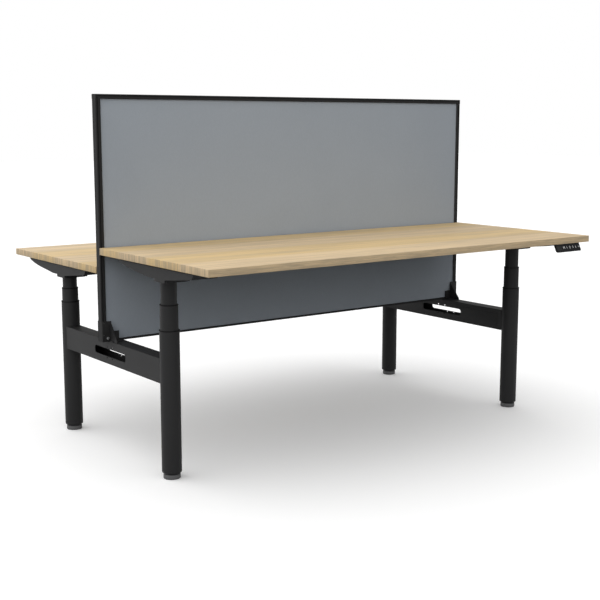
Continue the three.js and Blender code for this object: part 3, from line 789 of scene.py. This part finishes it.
# Screen: a cloth-covered board with soft edges inside the frame
BOARD_EDGE = 2 * MM
board_low, board_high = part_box("screen_panel")
board = soften(block("screen_board", board_low, board_high), BOARD_EDGE)
fit(board, "frame", CLOTH, ["screen_panel"])


# Fasteners: each is modelled once, seated on the XY plane with its head towards +Z
BOLT_EDGE = 0.25 * MM
SCREW_RADIUS = 4.2 * MM
SMALL_SCREW_RADIUS = 2.8 * MM
FACING_DOWN = (math.pi, 0, 0)


def hex_bolt():
    """Hexagon head on a flat washer."""
    washer = turned("washer", in_mm([(5.6, 0), (5.6, 0.9), (5.3, 1.2), (3, 1.2)]))
    head = turned("head", in_mm([(4.4, 1.2), (4.4, 4), (3.8, 4.5), (1.6, 4.5)]), sides=6)
    soften(head, BOLT_EDGE)
    return join("hex_bolt", [washer, head])


def cross_screw(radius):
    """Low domed head with a cross recess."""
    head = turned(
        "cross_screw",
        [
            (radius, 0),
            (radius, 0.2 * radius),
            (0.85 * radius, 0.42 * radius),
            (0.55 * radius, 0.56 * radius),
            (0.2 * radius, 0.6 * radius),
        ],
        sides=32,
    )
    long, narrow, depth = 0.52 * radius, 0.11 * radius, 0.22 * radius
    cut(head, block("slot", (-long, -narrow, depth), (long, narrow, radius)))
    return cut(head, block("slot", (-narrow, -long, depth), (narrow, long, radius)))


BOLT = hex_bolt()
SCREW = cross_screw(SCREW_RADIUS)
SMALL_SCREW = cross_screw(SMALL_SCREW_RADIUS)


def fasten(name, master, places, turn, body, material):
    """One piece made of a copy of the fastener at each place."""
    copies = [copy_to(master, f"{name}_{i}", place, turn) for i, place in enumerate(places)]
    fit(join(name, copies), body, material)


# Screen brackets: a plated bolt to the beam and two black screws to the screen's frame
BRACKET_FACE = 18 * MM
BRACKET_BOLT = (875 * MM, 437 * MM)
BRACKET_SCREWS = ((892 * MM, 495 * MM), (892 * MM, 449 * MM))
for user, out in DESKS:
    for end, side in ENDS:
        turn = (-out * math.pi / 2, 0, 0)
        face = out * BRACKET_FACE
        bolts = [(side * BRACKET_BOLT[0], face, BRACKET_BOLT[1])]
        fasten(f"{user}_{end}_bracket_bolt", BOLT, bolts, turn, "frame", ZINC)
        screws = [(side * x, face, z) for x, z in BRACKET_SCREWS]
        fasten(f"{user}_{end}_bracket_screws", SMALL_SCREW, screws, turn, "frame", SCREW_BLACK)


# Under each worktop: screws through the arms, in the control box and in the handset
BAR_SCREW_X = 18 * MM
BAR_SCREW_YS = (-267 * MM, 288 * MM)
BAR_UNDERSIDE = 6.5 * MM
BOX_SCREW_INSET = 11 * MM
TONGUE_SCREW_X = 35 * MM
TONGUE_SCREW_IN = 30 * MM
TONGUE_THICK = 4 * MM
HANDSET_X = 772.5 * MM
for user, front in DESKS:
    body = f"{user}_desk"
    top_low, top_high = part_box(f"{user}_top")
    underside = top_low[2]
    edge = top_low[1] if front < 0 else top_high[1]
    for end, _ in ENDS:
        x, y, _ = top_middle(f"{user}_{end}_outer_tube")
        places = [
            (x + across, y + along, underside - BAR_UNDERSIDE)
            for across in (-BAR_SCREW_X, BAR_SCREW_X)
            for along in BAR_SCREW_YS
        ]
        fasten(f"{user}_{end}_arm_screws", SCREW, places, FACING_DOWN, body, SCREW_BLACK)
    box_low, box_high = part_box(f"{user}_control_box")
    places = [
        (x, y, box_low[2])
        for x in (box_low[0] + BOX_SCREW_INSET, box_high[0] - BOX_SCREW_INSET)
        for y in (box_low[1] + BOX_SCREW_INSET, box_high[1] - BOX_SCREW_INSET)
    ]
    fasten(f"{user}_box_screws", SMALL_SCREW, places, FACING_DOWN, body, SCREW_BLACK)
    places = [
        (HANDSET_X + x, edge - front * TONGUE_SCREW_IN, underside - TONGUE_THICK)
        for x in (-TONGUE_SCREW_X, TONGUE_SCREW_X)
    ]
    fasten(f"{user}_handset_screws", SMALL_SCREW, places, FACING_DOWN, body, SCREW_BLACK)
for master in (BOLT, SCREW, SMALL_SCREW):
    bpy.data.objects.remove(master)


# Handset: dished keys with printed legends, and a glossy display window
FACE_DROP = 29.5 * MM
FACE_TOP_IN = 4 * MM
FACE_BOTTOM_OUT = 10.5 * MM
FACE_TILT = math.atan2(FACE_DROP, FACE_TOP_IN + FACE_BOTTOM_OUT)
KEY_HEIGHT = 18 * MM
KEY_WIDTH = 14.4 * MM
KEY_BACK = -2.4 * MM
KEY_FRONT = 0.7 * MM
KEY_CORNER = 2.5 * MM
KEY_DISH = 0.25 * MM
KEY_RIM = 0.9 * MM
PAD_EDGE = 0.4 * MM
KEY_FIRST = -26.5 * MM
KEY_PITCH = 17.5 * MM
LEGENDS = (
    ("memory", "M", 0),
    ("1", "1", 0),
    ("2", "2", 0),
    ("3", "3", 0),
    ("up", ">", 1),
    ("down", ">", -1),
)
LEGEND_SIZE = 14 * MM
LEGEND_HALF_THICK = 0.05 * MM
LEGEND_WELD = 0.0005 * MM
WINDOW_X = -51 * MM
WINDOW_WIDTH = 28.6 * MM
WINDOW_HEIGHT = 17.6 * MM
WINDOW_BACK = -1.0 * MM
WINDOW_FRONT = -0.1 * MM


def rounded_pad(name, width, height, back, front):
    """A flat pad with round corners and a softened face, seen along Z."""
    pad = block(name, (-width / 2, -height / 2, back), (width / 2, height / 2, front))
    soften(pad, KEY_CORNER, lambda a, b: not near(a.z, b.z), segments=6)
    return soften(pad, PAD_EDGE, lambda a, b: near(a.z, front) and near(b.z, front))


def key_cap():
    """A key whose face is dished inside its rim."""
    cap = rounded_pad("key_cap", KEY_WIDTH, KEY_HEIGHT, KEY_BACK, KEY_FRONT)
    pick_faces(cap, lambda centre, normal: normal.z > 0.99)
    bpy.ops.mesh.inset(thickness=KEY_RIM, depth=0)
    bpy.ops.transform.translate(value=(0, 0, -KEY_DISH))
    leave_edit()
    return cap


def legend(name, letter, quarter_turns):
    """A printed character lying on the XY plane."""
    deselect()
    bpy.ops.object.text_add()
    letters = bpy.context.object.data
    letters.body = letter
    letters.align_x = "CENTER"
    letters.align_y = "CENTER"
    letters.size = LEGEND_SIZE
    letters.extrude = LEGEND_HALF_THICK
    bpy.ops.object.convert(target="MESH")
    printed = bpy.context.object
    printed.name = name
    printed.rotation_euler = (0, 0, quarter_turns * math.pi / 2)
    settle(printed)
    edit()
    bpy.ops.mesh.remove_doubles(threshold=LEGEND_WELD)
    bpy.ops.mesh.normals_make_consistent(inside=False)
    leave_edit()
    return printed


def on_face(user, front, x, out):
    """The place and turn of something on the handset's sloping face, x along it and out from it."""
    top_low, top_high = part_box(f"{user}_top")
    edge = top_low[1] if front < 0 else top_high[1]
    middle_y = edge + front * ((FACE_BOTTOM_OUT - FACE_TOP_IN) / 2 + out * math.sin(FACE_TILT))
    middle_z = top_low[2] - FACE_DROP / 2 + out * math.cos(FACE_TILT)
    place = (HANDSET_X - front * x, middle_y, middle_z)
    return place, (FACE_TILT, 0, 0 if front < 0 else math.pi)


CAP = key_cap()
DISPLAY = rounded_pad("display", WINDOW_WIDTH, WINDOW_HEIGHT, WINDOW_BACK, WINDOW_FRONT)
for user, front in DESKS:
    place, turn = on_face(user, front, WINDOW_X, 0)
    window = copy_to(DISPLAY, f"{user}_display_window", place, turn)
    fit(window, f"{user}_desk", WINDOW)
    for i, (label, letter, quarter_turns) in enumerate(LEGENDS):
        node = f"{user}_key_{label}"
        x = KEY_FIRST + i * KEY_PITCH
        place, turn = on_face(user, front, x, 0)
        fit(copy_to(CAP, f"{node}_cap", place, turn), node, KEY, [node])
        printed = legend(f"{node}_legend", letter, quarter_turns)
        place, turn = on_face(user, front, x, KEY_FRONT - KEY_DISH + LEGEND_HALF_THICK / 2)
        printed.location = place
        printed.rotation_euler = turn
        fit(settle(printed), node, PRINT)
for master in (CAP, DISPLAY):
    bpy.data.objects.remove(master)


# Stage: floor, soft dome and camera
FLOOR_SIZE = 60
FLOOR_WHITE = 0.95
FLOOR_LIFT = 0.12
FLOOR_BOUNCE = 0.06


def make_floor():
    """White to the camera and in reflections, duller in the light that it throws back on the desk."""
    deselect()
    bpy.ops.mesh.primitive_plane_add(size=FLOOR_SIZE)
    floor = bpy.context.object
    floor.name = "floor"
    material = bpy.data.materials.new("white_floor")
    tree = node_tree(material)
    path = add(tree, "ShaderNodeLightPath").outputs
    seen = math_node(tree, "MAXIMUM", path["Is Camera Ray"], path["Is Glossy Ray"])
    seen = math_node(tree, "MAXIMUM", seen, path["Is Transmission Ray"])
    white = add(tree, "ShaderNodeBsdfDiffuse")
    white.inputs["Color"].default_value = (FLOOR_WHITE, FLOOR_WHITE, FLOOR_WHITE, 1)
    lift = add(tree, "ShaderNodeEmission")
    lift.inputs["Strength"].default_value = FLOOR_LIFT
    bright = add(tree, "ShaderNodeAddShader")
    link(tree, white.outputs[0], bright.inputs[0])
    link(tree, lift.outputs[0], bright.inputs[1])
    dull = add(tree, "ShaderNodeBsdfDiffuse")
    dull.inputs["Color"].default_value = (FLOOR_BOUNCE, FLOOR_BOUNCE, FLOOR_BOUNCE, 1)
    both = add(tree, "ShaderNodeMixShader")
    link(tree, seen, both.inputs[0])
    link(tree, dull.outputs[0], both.inputs[1])
    link(tree, bright.outputs[0], both.inputs[2])
    link(tree, both.outputs[0], add(tree, "ShaderNodeOutputMaterial").inputs[0])
    paint(floor, material)


SKY_LEVEL = 0.36
SKY_OVERHEAD = 0.95
SKY_LEFT = 0.65
SKY_BEHIND = 0.56
FRONT_GLOW = 1.5
GLOW_HORIZON = 0.7
GLOW_FULL = 0.25


def make_sky():
    """A soft dome, brighter overhead, to the left, behind, and low in front; white to the camera."""
    world = bpy.data.worlds.new("soft_dome")
    bpy.context.scene.world = world
    tree = node_tree(world)
    x, y, z = axes(tree, add(tree, "ShaderNodeTexCoord").outputs["Generated"])
    height = math_node(tree, "MAXIMUM", z, 0.0)
    above = math_node(tree, "MULTIPLY", height, SKY_OVERHEAD)
    level = math_node(tree, "ADD", above, SKY_LEVEL)
    level = math_node(tree, "SUBTRACT", level, math_node(tree, "MULTIPLY", x, SKY_LEFT))
    level = math_node(tree, "ADD", level, math_node(tree, "MULTIPLY", y, SKY_BEHIND))
    level = math_node(tree, "MAXIMUM", level, 0.0)
    low = math_node(tree, "SUBTRACT", 1.0, height)
    fade = map_range(tree, height, 0.0, GLOW_FULL, GLOW_HORIZON, 1.0)
    low = math_node(tree, "MULTIPLY", low, fade)
    front = math_node(tree, "MAXIMUM", math_node(tree, "MULTIPLY", y, -FRONT_GLOW), 0.0)
    level = math_node(tree, "ADD", level, math_node(tree, "MULTIPLY", low, front))
    dome = add(tree, "ShaderNodeBackground")
    white = add(tree, "ShaderNodeBackground")
    for backdrop in (dome, white):
        backdrop.inputs["Color"].default_value = (1, 1, 1, 1)
    link(tree, level, dome.inputs["Strength"])
    both = add(tree, "ShaderNodeMixShader")
    link(tree, add(tree, "ShaderNodeLightPath").outputs["Is Camera Ray"], both.inputs[0])
    link(tree, dome.outputs[0], both.inputs[1])
    link(tree, white.outputs[0], both.inputs[2])
    link(tree, both.outputs[0], add(tree, "ShaderNodeOutputWorld").inputs[0])


SENSOR = 36
PICTURE_WIDTH = 600
FOCUS_IN_PIXELS = 1110.15
CAMERA_PLACE = (-2.68743, -3.67154, 1.21922)
CAMERA_DROP = 0.1579
CAMERA_TURN = -0.6346


def make_camera():
    """The camera at the place, and with the lens, that the photo was found to have."""
    data = bpy.data.cameras.new("camera")
    data.sensor_width = SENSOR
    data.lens = SENSOR * FOCUS_IN_PIXELS / PICTURE_WIDTH
    camera = bpy.data.objects.new("camera", data)
    camera.location = CAMERA_PLACE
    camera.rotation_euler = (math.pi / 2 - CAMERA_DROP, 0, CAMERA_TURN)
    bpy.context.scene.collection.objects.link(camera)
    bpy.context.scene.camera = camera


make_floor()
make_sky()
make_camera()
bpy.context.scene.view_settings.view_transform = "Standard"
